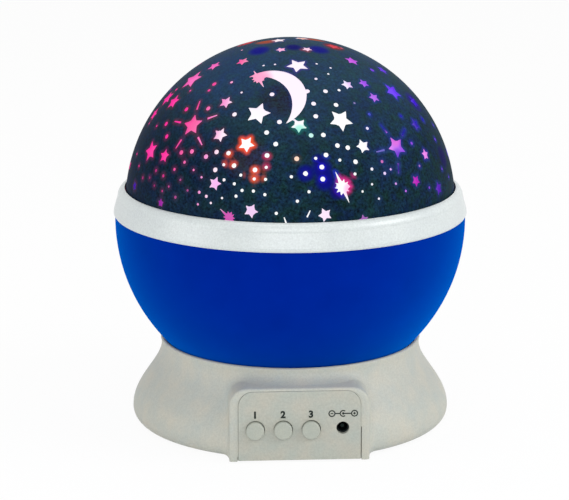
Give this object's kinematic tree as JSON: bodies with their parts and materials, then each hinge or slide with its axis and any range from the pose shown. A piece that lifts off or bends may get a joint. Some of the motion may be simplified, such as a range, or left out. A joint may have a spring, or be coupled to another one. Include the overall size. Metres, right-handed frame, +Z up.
{
  "type": "star night light projector",
  "caption": "Turning star night light: punched dome over a bowl that spins on a flared base with three buttons and a DC socket.",
  "frame": {"origin": "centre of the base on the floor", "axes": "+Z up along the globe's turning axis, front with the controls towards -Y"},
  "size_m": [0.13, 0.13, 0.1426],
  "materials": {
    "base_white": "satin moulded",
    "panel_white": "satin moulded",
    "button_white": "satin moulded",
    "ring_white": "gloss moulded",
    "bowl_blue": "gloss moulded",
    "dome_black": "fine grain",
    "dome_clear": "frosted clear",
    "plate_white": "satin moulded",
    "gear_white": "natural nylon",
    "foot_rubber": "matte",
    "steel": "zinc plated",
    "motor_steel": "drawn can",
    "brass": "machined",
    "board_green": "solder mask",
    "black_plastic": "moulded",
    "cell_sleeve": "printed sleeve, bare",
    "led_lens": "clear lens",
    "lead_red": "insulated wire"
  },
  "bodies": {
    "base": {"base_shell": "base_white", "base_cover": "base_white", "rubber_feet": "foot_rubber", "battery_cells": "cell_sleeve", "battery_contacts": "steel", "control_panel": "panel_white", "control_board": "board_green", "switches": "black_plastic", "dc_jack": "black_plastic", "jack_pin": "steel", "deck": "gear_white", "motor": "motor_steel", "gear_pins": "steel", "lamp_post": "gear_white", "thrust_washer": "gear_white", "retaining_ring": "steel", "lamp_socket": "gear_white", "led_board": "board_green", "leds": "led_lens", "lamp_leads": "lead_red", "base_screws": "steel", "deck_screws": "steel", "post_screws": "steel", "board_screws": "steel", "motor_screws": "steel", "led_screws": "steel"},
    "door": {"battery_door": "base_white", "door_screw": "steel"},
    "globe": {"bowl": "bowl_blue", "ring_gear": "gear_white", "trim_ring": "ring_white", "reflector_plate": "plate_white", "ring_gear_screws": "steel", "reflector_screws": "steel"},
    "dome": {"clear_dome": "dome_clear", "star_dome": "dome_black"},
    "key_1": {"button_1": "button_white", "plunger_1": "black_plastic"},
    "key_2": {"button_2": "button_white", "plunger_2": "black_plastic"},
    "key_3": {"button_3": "button_white", "plunger_3": "black_plastic"},
    "second_gear": {"gear_2": "gear_white"},
    "first_gear": {"gear_1": "gear_white"},
    "motor_drive": {"motor_shaft": "steel", "motor_pinion": "brass"}
  },
  "joints": [
    {"name": "globe_spin", "type": "hinge", "parent": "base", "child": "globe", "pos_m": [0, 0, 0.0255], "axis": [0, 0, 1], "continuous": true},
    {"name": "dome_lift", "type": "slide", "parent": "globe", "child": "dome", "axis": [0, 0, 1], "range_m": [0, 0.03]},
    {"name": "gear_2_spin", "type": "hinge", "parent": "base", "child": "second_gear", "pos_m": [0.02176, -0.02007, 0.02], "axis": [0, 0, 1], "continuous": true},
    {"name": "gear_1_spin", "type": "hinge", "parent": "base", "child": "first_gear", "pos_m": [0.01026, -0.02003, 0.02], "axis": [0, 0, 1], "continuous": true},
    {"name": "motor_spin", "type": "hinge", "parent": "base", "child": "motor_drive", "pos_m": [0, -0.024, 0.02], "axis": [0, 0, 1], "continuous": true},
    {"name": "door_tilt", "type": "hinge", "parent": "base", "child": "door", "pos_m": [0, -0.0082, 0.0015], "axis": [-1, 0, 0], "range_deg": [0, 45]},
    {"name": "button_1_press", "type": "slide", "parent": "base", "child": "key_1", "axis": [0, 1, 0], "range_m": [0, 0.0008], "stiffness_N_per_m": 400, "springref_m": -0.001},
    {"name": "button_2_press", "type": "slide", "parent": "base", "child": "key_2", "axis": [0, 1, 0], "range_m": [0, 0.0008], "stiffness_N_per_m": 400, "springref_m": -0.001},
    {"name": "button_3_press", "type": "slide", "parent": "base", "child": "key_3", "axis": [0, 1, 0], "range_m": [0, 0.0008], "stiffness_N_per_m": 400, "springref_m": -0.001}
  ],
  "couplings": [
    {"joint": "gear_2_spin", "follows": "globe_spin", "ratio": 8.4},
    {"joint": "gear_1_spin", "follows": "globe_spin", "ratio": -30.24},
    {"joint": "motor_spin", "follows": "globe_spin", "ratio": 102.82}
  ]
}
